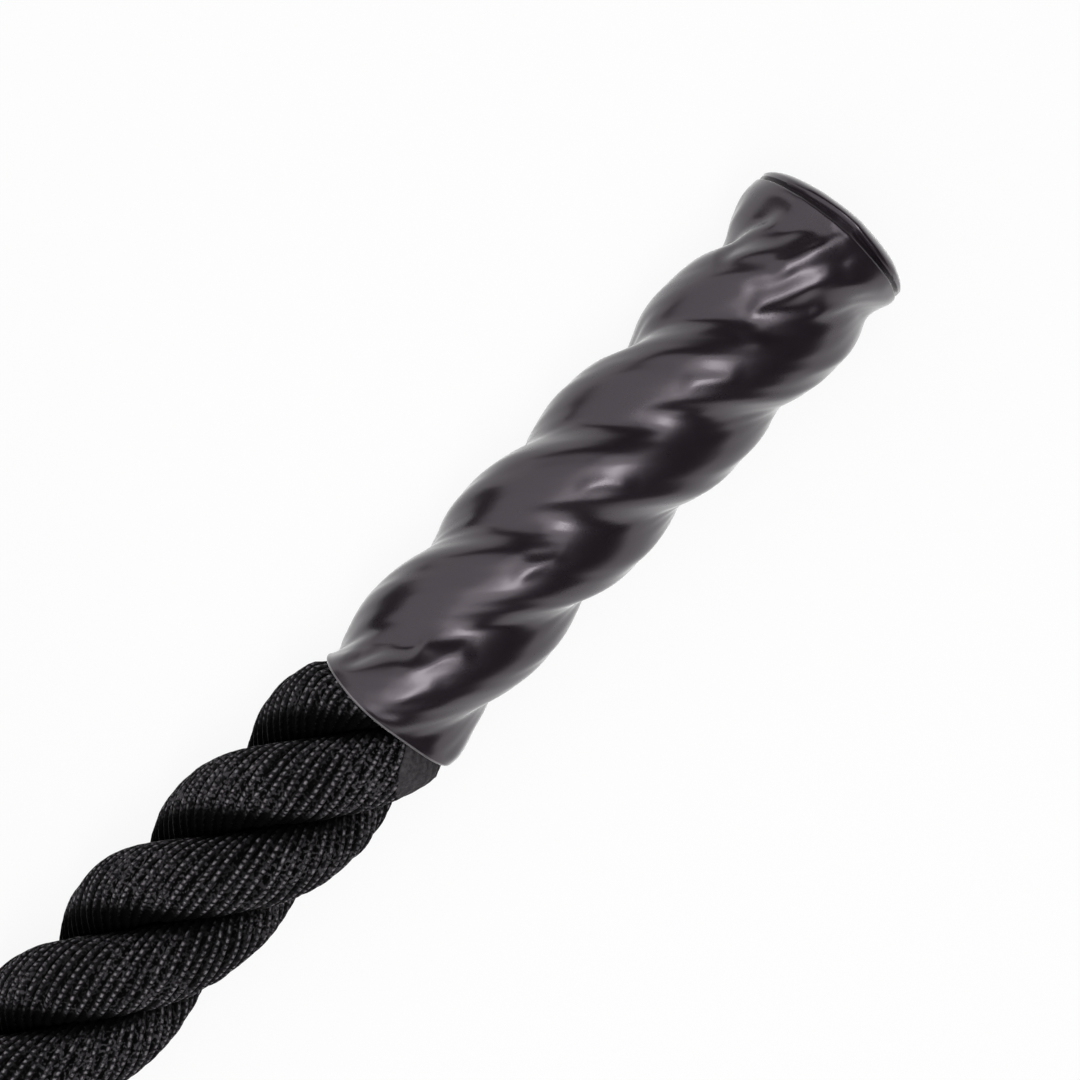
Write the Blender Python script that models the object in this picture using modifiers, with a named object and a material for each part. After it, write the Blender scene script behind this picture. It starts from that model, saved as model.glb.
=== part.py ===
# Battle rope: three laid strands with a shrunk sleeve over each end.
# The first handle lies out straight along +X and the rest of the rope is put away
# behind it in a round coil of two layers, with the second handle on top.
# Metres, +Z up, the floor at z = 0, the origin on the floor midway between the handles.

import math

import bmesh
import bpy
import numpy as np
from mathutils import Matrix, Vector

# Rope
ROPE_DIAMETER = 0.038
LAY_PITCH = 0.0885                 # length in which a strand goes once round the rope
LAY_PHASE = math.radians(55.0)     # turn of the first strand where it enters the sleeve
STRAND_COUNT = 3
STRAND_GAP = 0.0004                # between two strands, across their flat sides
LOBE_CENTRE_SHARE = 0.53           # centre of a strand's round back, of the rope's radius
LOBE_WIDTH_SHARE = 0.574           # half width of that round back, of the rope's radius
LAID_LENGTH_A = 0.135              # laid strands showing in front of handle A
LAID_LENGTH_B = 0.040              # the same at handle B, which lies on the coil

# Handle
SLEEVE_LENGTH = 0.135              # mouth to rim
SLEEVE_WALL = 0.0012
SLEEVE_GROOVE_SHARE = 0.74         # radius at the bottom of a groove, of the rope's radius
DOME_HEIGHT = 0.0055               # the closed end stands this far past the rim
ROUNDING_LENGTH = 0.012            # the lobes fade into the round rim over this length
SQUEEZE_LENGTH = 0.013             # the rope narrows into the mouth over this length
SIDE_COVER_SHARE = 1.4             # cover over a strand's flanks, of the cover over its crest
TAPE_THICKNESS = 0.0003
TAPE_STATIONS = 2                  # width of the tape, in stations of the lay
TAPE_GROOVE_SHARE = 0.62
FUSED_THICKNESS = 0.0040
FUSED_RADIUS_SHARE = 0.76
FIT_GAP = 0.0003                   # clearance between touching pieces
MERGE_DISTANCE = 0.00003           # points closer than this are one point

# Coil and route
COIL_OUTER_RADIUS = 0.2632         # centre line of the outermost turn
COIL_LAYER_TURNS = 3
COIL_CLIMB_TURNS = 0.5             # part of a turn in which the coil turns back and climbs
COIL_TURN_GAP = 0.0020             # between neighbouring turns and between the layers
COIL_FLAT_SHARE = 0.1              # depth of the flat underside, of the rope's diameter
COIL_DROP_TURNS = 0.125            # part of a turn in which the rope settles on that flat
LEAD_LENGTH = 0.290                # mouth of handle A to the first turn
HANDLE_B_REACH = (0.198, 0.025)    # mouth of handle B, from the middle of the coil
ROUTE_B = (                        # rope on top of the coil: x and y from its middle, z
    (0.0980, 0.2530, 0.0625),
    (0.1415, 0.2275, 0.0765),
    (0.1750, 0.1880, 0.0880),
    (0.1930, 0.1430, 0.0938),
)

# Fineness of the faceted solids
STATIONS_PER_TURN = 14
LOBE_STEPS = 4                     # facets from a strand's crest to its groove
DOME_SHARES = (0.74, 0.40)         # radii of the rings on the closed end, of the rim's
ROUND_STEPS = 20
COIL_POINTS_PER_TURN = 24
ROUTE_SPACING_SHARE = 1.25         # distance between points of a free stretch, in diameters
RUN_BEVEL_RESOLUTION = 3
COIL_BEVEL_RESOLUTION = 1
SMOOTH_ANGLE = math.radians(50.0)
CUT_OVERRUN = 0.05

ROPE_COLOUR = (0.022, 0.021, 0.023, 1.0)
SLEEVE_COLOUR = (0.050, 0.046, 0.052, 1.0)
TAPE_COLOUR = (0.030, 0.030, 0.030, 1.0)
FUSED_COLOUR = (0.012, 0.012, 0.013, 1.0)

# Worked out from the sizes above
ROPE_RADIUS = ROPE_DIAMETER / 2
SECTOR = math.pi / STRAND_COUNT
STATION = LAY_PITCH / STATIONS_PER_TURN
SLEEVE_COVER = SLEEVE_WALL + FIT_GAP
TAPE_COVER = TAPE_THICKNESS + FIT_GAP
SLEEVE_SQUEEZE = (ROPE_RADIUS - SLEEVE_COVER) / ROPE_RADIUS
TAPE_SQUEEZE = (ROPE_RADIUS - SLEEVE_COVER - TAPE_COVER) / ROPE_RADIUS
STRAND_END = SLEEVE_LENGTH - FUSED_THICKNESS - SLEEVE_WALL - 2 * FIT_GAP
TAPE_END = math.floor(STRAND_END / STATION) * STATION
TAPE_START = TAPE_END - TAPE_STATIONS * STATION
TURN_SPACING = ROPE_DIAMETER + COIL_TURN_GAP
COIL_INNER_RADIUS = COIL_OUTER_RADIUS - COIL_LAYER_TURNS * TURN_SPACING
COIL_TURNS = 2 * COIL_LAYER_TURNS + COIL_CLIMB_TURNS
LOW_HEIGHT = ROPE_RADIUS - COIL_FLAT_SHARE * ROPE_DIAMETER
HIGH_HEIGHT = LOW_HEIGHT + TURN_SPACING
TOP_HEIGHT = HIGH_HEIGHT + TURN_SPACING

# The two handles' common box has its middle over the origin
MOUTH_A = Vector((
    (LEAD_LENGTH - HANDLE_B_REACH[0] + ROPE_RADIUS - SLEEVE_LENGTH - DOME_HEIGHT) / 2,
    (ROPE_RADIUS - COIL_OUTER_RADIUS - HANDLE_B_REACH[1]) / 2,
    ROPE_RADIUS,
))
COIL_MIDDLE = Vector((MOUTH_A.x - LEAD_LENGTH, MOUTH_A.y + COIL_OUTER_RADIUS, 0.0))
MOUTH_B = COIL_MIDDLE + Vector((*HANDLE_B_REACH, TOP_HEIGHT))
TURN_A = 0.0
TURN_B = -math.pi / 2


def smooth_step(value):
    value = min(max(value, 0.0), 1.0)
    return value * value * (3 - 2 * value)


def make_material(name, colour, roughness):
    material = bpy.data.materials.new(name)
    material.use_nodes = True
    shader = material.node_tree.nodes["Principled BSDF"]
    shader.inputs["Base Color"].default_value = colour
    shader.inputs["Roughness"].default_value = roughness
    shader.inputs["Metallic"].default_value = 0.0
    material.diffuse_color = colour
    return material


def add_object(name, data, collection, material=None, parent=None):
    thing = bpy.data.objects.new(name, data)
    collection.objects.link(thing)
    if material is not None:
        data.materials.append(material)
    if parent is not None:
        thing.parent = parent
    return thing


# Section of the laid rope: each strand has a round back and two flat sides

def lobe_radius(angle, squeeze, cover):
    """Distance from the rope's axis to a strand's back, grown by what covers it."""
    centre = ROPE_RADIUS * LOBE_CENTRE_SHARE * squeeze
    depth = ROPE_RADIUS * (1 - LOBE_CENTRE_SHARE) * squeeze + cover
    width = ROPE_RADIUS * LOBE_WIDTH_SHARE * squeeze + cover * SIDE_COVER_SHARE
    cosine = math.cos(angle) / depth
    sine = math.sin(angle) / width
    offset = centre / depth
    a = cosine * cosine + sine * sine
    b = cosine * offset
    return (b + math.sqrt(b * b - a * (offset * offset - 1))) / a


def strand_section(squeeze):
    """Outline of one strand, crest towards +X, as complex numbers."""
    side_gap = STRAND_GAP / 2
    groove = lobe_radius(SECTOR, squeeze, 0.0)
    corner = SECTOR - math.asin(side_gap / groove)
    steps = range(1 - LOBE_STEPS, LOBE_STEPS)
    angles = [-corner, *(SECTOR * step / LOBE_STEPS for step in steps), corner]
    back = [complex(math.cos(a), math.sin(a)) * lobe_radius(a, squeeze, 0.0) for a in angles]
    return [complex(side_gap / math.sin(SECTOR), 0.0), *back]


def strand_squeeze(along):
    """How far the strands are pressed together, by the distance past the mouth."""
    in_mouth = smooth_step((along + SQUEEZE_LENGTH) / SQUEEZE_LENGTH)
    in_tape = smooth_step((along - TAPE_START + STATION) / STATION)
    return 1 + (SLEEVE_SQUEEZE - 1) * in_mouth + (TAPE_SQUEEZE - SLEEVE_SQUEEZE) * in_tape


def lay_turn(along):
    return LAY_PHASE + 2 * math.pi * along / LAY_PITCH


def stations(start, end):
    """Both ends and every whole station of the lay between them."""
    first = math.floor(start / STATION) + 1
    last = math.ceil(end / STATION) - 1
    inner = [index * STATION for index in range(first, last + 1)]
    inner = [along for along in inner if along - start > FIT_GAP and end - along > FIT_GAP]
    return [start, *inner, end]


def place(along, section, turn):
    """Points of a section that is turned by the lay, with the rope's axis along +X."""
    turned = [point * complex(math.cos(turn), math.sin(turn)) for point in section]
    return [(along, point.real, point.imag) for point in turned]


def join_rings(mesh, lower, upper, flipped=()):
    """Triangles between two rings, split along the lay except on the flipped sides."""
    count = len(lower)
    for index in range(count):
        after = (index + 1) % count
        if index in flipped:
            mesh.faces.new((lower[index], lower[after], upper[after]))
            mesh.faces.new((lower[index], upper[after], upper[index]))
        else:
            mesh.faces.new((lower[index], lower[after], upper[index]))
            mesh.faces.new((lower[after], upper[after], upper[index]))


def finish_mesh(mesh, name):
    data = bpy.data.meshes.new(name)
    mesh.to_mesh(data)
    mesh.free()
    data.shade_smooth()
    data.set_sharp_from_angle(angle=SMOOTH_ANGLE)
    return data


def make_strand(name, number, laid_length, collection, material, parent):
    mesh = bmesh.new()
    rings = []
    for along in stations(-laid_length, STRAND_END):
        turn = lay_turn(along) + 2 * SECTOR * number
        points = place(along, strand_section(strand_squeeze(along)), turn)
        rings.append([mesh.verts.new(point) for point in points])
    last_side = len(rings[0]) - 1
    for lower, upper in zip(rings, rings[1:]):
        join_rings(mesh, lower, upper, flipped=(last_side,))
    mesh.faces.new(reversed(rings[0]))
    mesh.faces.new(rings[-1])
    return add_object(name, finish_mesh(mesh, name), collection, material, parent)


# Shells that are shrunk or wound on the strands and follow their lay

def cover_section(squeeze, cover, groove_radius, rounding):
    section = []
    for step in range(2 * LOBE_STEPS * STRAND_COUNT):
        angle = SECTOR * step / LOBE_STEPS
        from_crest = (angle + SECTOR) % (2 * SECTOR) - SECTOR
        lobed = max(lobe_radius(from_crest, squeeze, cover), groove_radius)
        radius = lobed + (ROPE_RADIUS - lobed) * rounding
        section.append(complex(math.cos(angle), math.sin(angle)) * radius)
    return section


def dome_height(radius):
    return DOME_HEIGHT * (1 - (radius / ROPE_RADIUS) ** 2)


def add_shell(name, mesh, thickness, collection, material, parent):
    shell = add_object(name, finish_mesh(mesh, name), collection, material, parent)
    wall = shell.modifiers.new("wall", "SOLIDIFY")
    wall.thickness = thickness
    wall.offset = -1.0
    wall.use_even_offset = True
    wall.use_quality_normals = True
    return shell


def make_sleeve(name, collection, material, parent):
    mesh = bmesh.new()
    rings = []
    groove_radius = ROPE_RADIUS * SLEEVE_GROOVE_SHARE
    for along in stations(0.0, SLEEVE_LENGTH):
        rounding = smooth_step((along - SLEEVE_LENGTH + ROUNDING_LENGTH) / ROUNDING_LENGTH)
        section = cover_section(SLEEVE_SQUEEZE, SLEEVE_COVER, groove_radius, rounding)
        rings.append([mesh.verts.new(point) for point in place(along, section, lay_turn(along))])
    rim_turn = lay_turn(SLEEVE_LENGTH)
    for share in DOME_SHARES:
        along = SLEEVE_LENGTH + dome_height(ROPE_RADIUS * share)
        smaller = [point * share for point in section]
        rings.append([mesh.verts.new(point) for point in place(along, smaller, rim_turn)])
    for lower, upper in zip(rings, rings[1:]):
        join_rings(mesh, lower, upper)
    middle = mesh.verts.new((SLEEVE_LENGTH + DOME_HEIGHT, 0.0, 0.0))
    for first, second in zip(rings[-1], rings[-1][1:] + rings[-1][:1]):
        mesh.faces.new((first, second, middle))
    return add_shell(name, mesh, SLEEVE_WALL, collection, material, parent)


def make_tape(name, collection, material, parent):
    mesh = bmesh.new()
    rings = []
    groove_radius = ROPE_RADIUS * TAPE_GROOVE_SHARE
    for along in stations(TAPE_START, TAPE_END):
        section = cover_section(TAPE_SQUEEZE, TAPE_COVER, groove_radius, 0.0)
        rings.append([mesh.verts.new(point) for point in place(along, section, lay_turn(along))])
    for lower, upper in zip(rings, rings[1:]):
        join_rings(mesh, lower, upper)
    return add_shell(name, mesh, TAPE_THICKNESS, collection, material, parent)


def make_fused_end(name, collection, material, parent):
    """The strands' melted ends: a turned button that fills the closed end."""
    radius = ROPE_RADIUS * FUSED_RADIUS_SHARE
    back = STRAND_END + FIT_GAP
    seat = SLEEVE_LENGTH - SLEEVE_WALL - 2 * FIT_GAP
    profile = [(0.0, back), (radius, back)]
    profile += [(radius * share, seat + dome_height(radius * share)) for share in (1.0, *DOME_SHARES)]
    profile.append((0.0, seat + DOME_HEIGHT))
    mesh = bmesh.new()
    corners = [mesh.verts.new((x, 0.0, z)) for x, z in reversed(profile)]
    for first, second in zip(corners, corners[1:]):
        mesh.edges.new((first, second))
    data = bpy.data.meshes.new(name)
    mesh.to_mesh(data)
    mesh.free()
    button = add_object(name, data, collection, material, parent)
    turned = button.modifiers.new("turned", "SCREW")
    turned.axis = "Z"
    turned.steps = ROUND_STEPS
    turned.render_steps = ROUND_STEPS
    turned.use_merge_vertices = True
    turned.merge_threshold = MERGE_DISTANCE
    turned.use_smooth_shade = False
    button.rotation_euler = (0.0, math.pi / 2, 0.0)
    return button


def make_handle(letter, mouth, turn, laid_length, collection, materials):
    frame = bpy.data.objects.new("handle_" + letter + "_frame", None)
    frame.location = mouth
    frame.rotation_euler = (0.0, 0.0, turn)
    collection.objects.link(frame)
    make_sleeve("handle_sleeve_" + letter, collection, materials["sleeve"], frame)
    make_tape("end_tape_" + letter, collection, materials["tape"], frame)
    make_fused_end("fused_end_" + letter, collection, materials["fused"], frame)
    for number in range(STRAND_COUNT):
        name = "strand_" + letter + str(number + 1)
        make_strand(name, number, laid_length, collection, materials["rope"], frame)


# Coil: in along the floor layer, up in a half turn, and out again on top of it

def coil_point(turns):
    angle = -math.pi / 2 - 2 * math.pi * turns
    climb = turns - COIL_LAYER_TURNS
    if climb <= 0.0:
        radius = COIL_OUTER_RADIUS - TURN_SPACING * turns
    elif climb < COIL_CLIMB_TURNS:
        radius = COIL_INNER_RADIUS - TURN_SPACING * climb * (1 - climb / COIL_CLIMB_TURNS)
    else:
        radius = COIL_INNER_RADIUS + TURN_SPACING * (climb - COIL_CLIMB_TURNS)
    height = LOW_HEIGHT + TURN_SPACING * smooth_step(climb / COIL_CLIMB_TURNS)
    height += (ROPE_RADIUS - LOW_HEIGHT) * smooth_step(1 - turns / COIL_DROP_TURNS)
    return COIL_MIDDLE + Vector((radius * math.cos(angle), radius * math.sin(angle), height))


def coil_points():
    count = round(COIL_TURNS * COIL_POINTS_PER_TURN)
    points = [coil_point(index / COIL_POINTS_PER_TURN) for index in range(count + 1)]
    straight = Vector((ROPE_DIAMETER, 0.0, 0.0))
    return [points[0] + straight, *points, points[-1] + straight]


def smooth_route(points):
    """A smooth curve through the route's own points, with evenly spaced points on it."""
    ends = [2 * points[0] - points[1], *points, 2 * points[-1] - points[-2]]
    fine = []
    for before, start, end, after in zip(ends, ends[1:], ends[2:], ends[3:]):
        count = max(1, round((end - start).length / (ROPE_DIAMETER * ROUTE_SPACING_SHARE)))
        for index in range(count):
            t = index / count
            fine.append(0.5 * (2 * start + (end - before) * t
                               + (2 * before - 5 * start + 4 * end - after) * t ** 2
                               + (3 * start - before - 3 * end + after) * t ** 3))
    return [*fine, points[-1]]


def make_tube(name, points, resolution, collection, material):
    curve = bpy.data.curves.new(name, "CURVE")
    curve.dimensions = "3D"
    curve.twist_mode = "Z_UP"
    curve.bevel_depth = ROPE_RADIUS
    curve.bevel_resolution = resolution
    curve.use_fill_caps = True
    spline = curve.splines.new("POLY")
    spline.points.add(len(points) - 1)
    for corner, point in zip(spline.points, points):
        corner.co = (*point, 1.0)
    return add_object(name, curve, collection, material)


def as_mesh(thing, collection, material):
    """The curve's tube as a mesh object with its caps welded on."""
    bpy.context.view_layer.update()
    evaluated = thing.evaluated_get(bpy.context.evaluated_depsgraph_get())
    data = bpy.data.meshes.new_from_object(evaluated)
    mesh = bmesh.new()
    mesh.from_mesh(data)
    bmesh.ops.remove_doubles(mesh, verts=mesh.verts, dist=MERGE_DISTANCE)
    bmesh.ops.recalc_face_normals(mesh, faces=mesh.faces)
    mesh.to_mesh(data)
    mesh.free()
    data.materials.clear()
    name = thing.name
    place_in_world = thing.matrix_world.copy()
    bpy.data.objects.remove(thing)
    solid = add_object(name, data, collection, material)
    solid.matrix_world = place_in_world
    return solid


def make_coil(points, collection, cutters, material):
    tube = make_tube("rope_coil", points, COIL_BEVEL_RESOLUTION, collection, material)
    coil = as_mesh(tube, collection, material)
    reach = 2 * (COIL_OUTER_RADIUS + ROPE_RADIUS + CUT_OVERRUN)
    bpy.ops.mesh.primitive_cube_add(size=1.0)
    floor = bpy.context.active_object
    floor.name = "floor_cutter"
    floor.data.transform(Matrix.Diagonal((reach, reach, CUT_OVERRUN, 1.0)))
    floor.location = COIL_MIDDLE - Vector((0.0, 0.0, CUT_OVERRUN / 2))
    for home in list(floor.users_collection):
        home.objects.unlink(floor)
    cutters.objects.link(floor)
    floor.hide_render = True
    floor.display_type = "WIRE"
    flat = coil.modifiers.new("flat underside", "BOOLEAN")
    flat.operation = "DIFFERENCE"
    flat.object = floor
    return coil


def least_self_gap(points):
    """Narrowest space between stretches of the tube that aren't next to each other."""
    line = np.array([tuple(point) for point in points])
    starts, steps = line[:-1], np.diff(line, axis=0)
    lengths = np.linalg.norm(steps, axis=1)
    reached = np.concatenate(([0.0], np.cumsum(lengths)))
    least = math.inf
    for index, (start, step) in enumerate(zip(starts, steps)):
        for share in (0.0, 0.5):
            point = start + step * share
            apart = np.abs(reached[:-1] + lengths / 2 - reached[index] - lengths[index] * share)
            far = apart > 3 * ROPE_DIAMETER
            across = point - starts[far]
            foot = np.clip(np.sum(across * steps[far], axis=1) / lengths[far] ** 2, 0.0, 1.0)
            nearest = np.linalg.norm(across - foot[:, None] * steps[far], axis=1)
            least = min(least, nearest.min())
    return least - ROPE_DIAMETER


def route_length(points):
    return sum((after - before).length for before, after in zip(points, points[1:]))


def make_rope(collection, cutters, material):
    coil = coil_points()
    joint = Vector((FIT_GAP, 0.0, 0.0))
    stub = Vector((ROPE_RADIUS, 0.0, 0.0))
    leave_a = MOUTH_A - Vector((LAID_LENGTH_A + FIT_GAP, 0.0, 0.0))
    run_a = [leave_a, leave_a - stub, coil[0] + joint + stub, coil[0] + joint]
    reach_b = MOUTH_B + Vector((0.0, LAID_LENGTH_B + FIT_GAP, 0.0))
    before_b = reach_b + Vector((0.0, ROPE_DIAMETER, 0.0))
    on_top = [COIL_MIDDLE + Vector(point) for point in ROUTE_B]
    run_b = [coil[-1] + joint, coil[-1] + joint + stub, *on_top, before_b, reach_b]
    run_a, run_b = smooth_route(run_a), smooth_route(run_b)
    make_tube("rope_run_a", run_a, RUN_BEVEL_RESOLUTION, collection, material)
    make_tube("rope_run_b", run_b, RUN_BEVEL_RESOLUTION, collection, material)
    make_coil(coil, collection, cutters, material)
    laid = LAID_LENGTH_A + LAID_LENGTH_B + 2 * STRAND_END
    total = laid + route_length(run_a) + route_length(coil) + route_length(run_b)
    print("rope length", round(total, 3), "coil", round(route_length(coil), 3),
          "run b", round(route_length(run_b), 3))
    print("least gap of the coil to itself in mm", round(1000 * least_self_gap(coil), 2))


def main():
    for thing in list(bpy.data.objects):
        bpy.data.objects.remove(thing)
    parts = bpy.data.collections.new("battle_rope")
    cutters = bpy.data.collections.new("cutters")
    for collection in (parts, cutters):
        bpy.context.scene.collection.children.link(collection)
    materials = {
        "rope": make_material("rope_black", ROPE_COLOUR, 0.85),
        "sleeve": make_material("sleeve_black", SLEEVE_COLOUR, 0.38),
        "tape": make_material("tape_black", TAPE_COLOUR, 0.6),
        "fused": make_material("fused_black", FUSED_COLOUR, 0.5),
    }
    make_handle("a", MOUTH_A, TURN_A, LAID_LENGTH_A, parts, materials)
    make_handle("b", MOUTH_B, TURN_B, LAID_LENGTH_B, parts, materials)
    make_rope(parts, cutters, materials["rope"])
    for name, point in (("mouth a", MOUTH_A), ("mouth b", MOUTH_B), ("coil middle", COIL_MIDDLE)):
        print(name, [round(value, 4) for value in point])


main()
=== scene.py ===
import math

import bpy
import numpy as np
from mathutils import Matrix, Vector


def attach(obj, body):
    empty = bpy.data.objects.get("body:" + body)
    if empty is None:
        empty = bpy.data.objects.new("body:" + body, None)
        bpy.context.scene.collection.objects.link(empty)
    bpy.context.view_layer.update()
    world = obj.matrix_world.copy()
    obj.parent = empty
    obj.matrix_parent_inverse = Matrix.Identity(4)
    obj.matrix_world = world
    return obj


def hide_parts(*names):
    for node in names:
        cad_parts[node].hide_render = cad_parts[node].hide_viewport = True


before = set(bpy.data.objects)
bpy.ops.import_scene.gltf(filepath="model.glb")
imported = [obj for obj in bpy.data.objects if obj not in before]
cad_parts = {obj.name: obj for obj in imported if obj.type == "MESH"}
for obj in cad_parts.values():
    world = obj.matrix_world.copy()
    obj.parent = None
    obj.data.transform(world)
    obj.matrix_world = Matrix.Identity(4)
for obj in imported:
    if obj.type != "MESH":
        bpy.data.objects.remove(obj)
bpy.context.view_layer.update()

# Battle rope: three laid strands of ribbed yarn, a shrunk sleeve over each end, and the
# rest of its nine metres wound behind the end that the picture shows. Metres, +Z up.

scene = bpy.context.scene


# Camera, nearly straight above the handle and turned so that it points to the upper right

view = {
    "mouth": (-0.01475, -0.1346, 0.019),    # middle of the shown sleeve's mouth
    "pastMouth": 0.0484,                    # how far past it the camera aims
    "distance": 0.38,
    "lean": math.radians(2.5),              # towards the closed end
    "slope": math.radians(45.7),            # the handle's slope in the picture
    "lens": 59.2,
}
aim = Vector(view["mouth"]) + Vector((view["pastMouth"], 0.0, 0.0))


def addObject(name, data):
    thing = bpy.data.objects.new(name, data)
    scene.collection.objects.link(thing)
    return thing


def makeCamera():
    back = Vector((math.sin(view["lean"]), 0.0, math.cos(view["lean"])))
    handle = (Vector((1.0, 0.0, 0.0)) - back * back.x).normalized()
    side = back.cross(handle)
    right = handle * math.cos(view["slope"]) - side * math.sin(view["slope"])
    up = handle * math.sin(view["slope"]) + side * math.cos(view["slope"])
    data = bpy.data.cameras.new("camera")
    data.lens = view["lens"]
    data.sensor_width = 36.0
    data.clip_start = 0.01
    camera = addObject("camera", data)
    turned = Matrix((right, up, back)).transposed().to_4x4()
    turned.translation = aim + back * view["distance"]
    camera.matrix_world = turned
    scene.camera = camera


makeCamera()
print("camera done")


# Skins: closed tubes of rings, gathered into one mesh with its texture maps

def newSkin():
    return {"points": [], "faces": [], "maps": {}, "count": 0}


def gridCorners(u, v, rows, columns):
    # the corners of each face, and of the two ends, from values on the rings
    both = np.stack([np.broadcast_to(values, (rows, columns + 1)) for values in (u, v)], axis=-1)
    corners = np.stack([both[:-1, :-1], both[1:, :-1], both[1:, 1:], both[:-1, 1:]], axis=2)
    return corners, both[0, :-1], both[-1, :-1][::-1]


bakeRoom = {
    "strips": (0.98, 0.95),                 # share of a tile's width and height that its strips fill
    "ends": (0.99, 0.2, 0.4),               # the two ends lie beside them: place, first height, next one
    "endRadius": 0.007,
}


def bakeCorners(tile, rows, columns):
    # a map without overlaps for baked textures: the tube's strips lie one above the other
    left, bottom, width, height, strips = tile
    wide, high = bakeRoom["strips"]
    endPlace, endHeight, endSpacing = bakeRoom["ends"]
    perStrip = math.ceil((rows - 1) / strips)
    stepU, stepV = wide * width / perStrip, high * height / strips / columns
    row, column = np.arange(rows - 1)[:, None], np.arange(columns)[None, :]
    u = left + stepU * (row % perStrip) + 0 * column
    v = bottom + height / strips * (row // perStrip) + stepV * column
    corners = np.stack([np.stack([u + ahead * stepU, v + up * stepV], axis=-1)
                        for ahead, up in ((0, 0), (1, 0), (1, 1), (0, 1))], axis=2)
    turn = math.tau * np.arange(columns) / columns
    ring = bakeRoom["endRadius"] * width * np.stack([np.cos(turn), np.sin(turn)], axis=-1)
    centre = np.array([left + endPlace * width, bottom + endHeight * height])
    return corners, centre + ring, centre + (0.0, endSpacing * height) + ring[::-1]


def addTube(skin, rings, maps, tile, reverse=False):
    # maps: name to (u, v), each rows x (columns + 1); the last column closes the ring
    # tile: left, bottom, width, height and strips in the map for baked textures
    rows, columns = rings.shape[:2]
    index = skin["count"] + np.arange(rows * columns).reshape(rows, columns)
    wrapped = np.concatenate([index, index[:, :1]], axis=1)
    quads = np.stack([wrapped[:-1, :-1], wrapped[1:, :-1], wrapped[1:, 1:], wrapped[:-1, 1:]], axis=-1)
    first, last = index[0], index[-1][::-1]
    if reverse:
        quads = quads[..., ::-1]
        first, last = first[::-1], last[::-1]
    skin["points"].append(rings.reshape(-1, 3))
    skin["faces"] += quads.reshape(-1, 4).tolist() + [first.tolist(), last.tolist()]
    laid = {name: gridCorners(u, v, rows, columns) for name, (u, v) in maps.items()}
    laid["OFBake"] = bakeCorners(tile, rows, columns)
    for name, (corners, start, end) in laid.items():
        if reverse:
            corners = corners[:, :, ::-1]
            start, end = start[::-1], end[::-1]
        skin["maps"].setdefault(name, []).append(np.concatenate([corners.reshape(-1, 2), start, end]))
    skin["count"] += rows * columns


def skinObject(name, skin, material, sharpAngle):
    mesh = bpy.data.meshes.new(name)
    mesh.from_pydata(np.concatenate(skin["points"]), [], skin["faces"])
    for mapName, parts in skin["maps"].items():
        layer = mesh.uv_layers.new(name=mapName)
        layer.data.foreach_set("uv", np.concatenate(parts).astype(np.float32).ravel())
    mesh.shade_smooth()
    mesh.set_sharp_from_angle(angle=sharpAngle)
    mesh.materials.append(material)
    return addObject(name, mesh)


def smoothStep(value):
    value = np.clip(value, 0.0, 1.0)
    return value * value * (3.0 - 2.0 * value)


# Shader helpers

def addNode(tree, kind, **values):
    node = tree.nodes.new(kind)
    for name, value in values.items():
        setattr(node, name, value)
    return node


def feed(tree, socket, value):
    if isinstance(value, bpy.types.NodeSocket):
        tree.links.new(value, socket)
    else:
        socket.default_value = value


def calc(tree, operation, *values):
    node = addNode(tree, "ShaderNodeMath", operation=operation)
    for socket, value in zip(node.inputs, values):
        feed(tree, socket, value)
    return node.outputs[0]


def remap(tree, value, low, high, newLow, newHigh):
    node = addNode(tree, "ShaderNodeMapRange", interpolation_type="SMOOTHSTEP")
    for socket, number in zip(node.inputs, (value, low, high, newLow, newHigh)):
        feed(tree, socket, number)
    return node.outputs[0]


def blendColors(tree, share, first, second):
    node = addNode(tree, "ShaderNodeMix", data_type="RGBA")
    feed(tree, node.inputs[0], share)
    feed(tree, node.inputs[6], first)
    feed(tree, node.inputs[7], second)
    return node.outputs[2]


def noise(tree, vector, scale, detail, roughness):
    node = addNode(tree, "ShaderNodeTexNoise")
    tree.links.new(vector, node.inputs["Vector"])
    node.inputs["Scale"].default_value = scale
    node.inputs["Detail"].default_value = detail
    node.inputs["Roughness"].default_value = roughness
    return node.outputs["Fac"]


def mapParts(tree, name):
    # the two values of a texture map
    parts = addNode(tree, "ShaderNodeSeparateXYZ")
    tree.links.new(addNode(tree, "ShaderNodeUVMap", uv_map=name).outputs[0], parts.inputs[0])
    return parts.outputs[0], parts.outputs[1]


def addBump(tree, shader, height, strength, distance):
    bump = addNode(tree, "ShaderNodeBump")
    bump.inputs["Strength"].default_value = strength
    bump.inputs["Distance"].default_value = distance
    tree.links.new(height, bump.inputs["Height"])
    tree.links.new(bump.outputs[0], shader.inputs["Normal"])


def newMaterial(name, roughness):
    material = bpy.data.materials.new(name)
    material.use_nodes = True
    shader = material.node_tree.nodes["Principled BSDF"]
    shader.inputs["Roughness"].default_value = roughness
    return material, material.node_tree, shader


def newGroup(name, inputs, outputs):
    group = bpy.data.node_groups.new(name, "ShaderNodeTree")
    for way, sockets in (("INPUT", inputs), ("OUTPUT", outputs)):
        for socketName, kind in sockets.items():
            group.interface.new_socket(socketName, in_out=way, socket_type="NodeSocket" + kind)
    return group, addNode(group, "NodeGroupInput").outputs, addNode(group, "NodeGroupOutput").inputs


def useGroup(tree, group, **values):
    node = addNode(tree, "ShaderNodeGroup", node_tree=group)
    for name, value in values.items():
        feed(tree, node.inputs[name], value)
    return node.outputs


# Fine grain: uneven colour and roughness, and a slight unevenness of the surface

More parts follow.
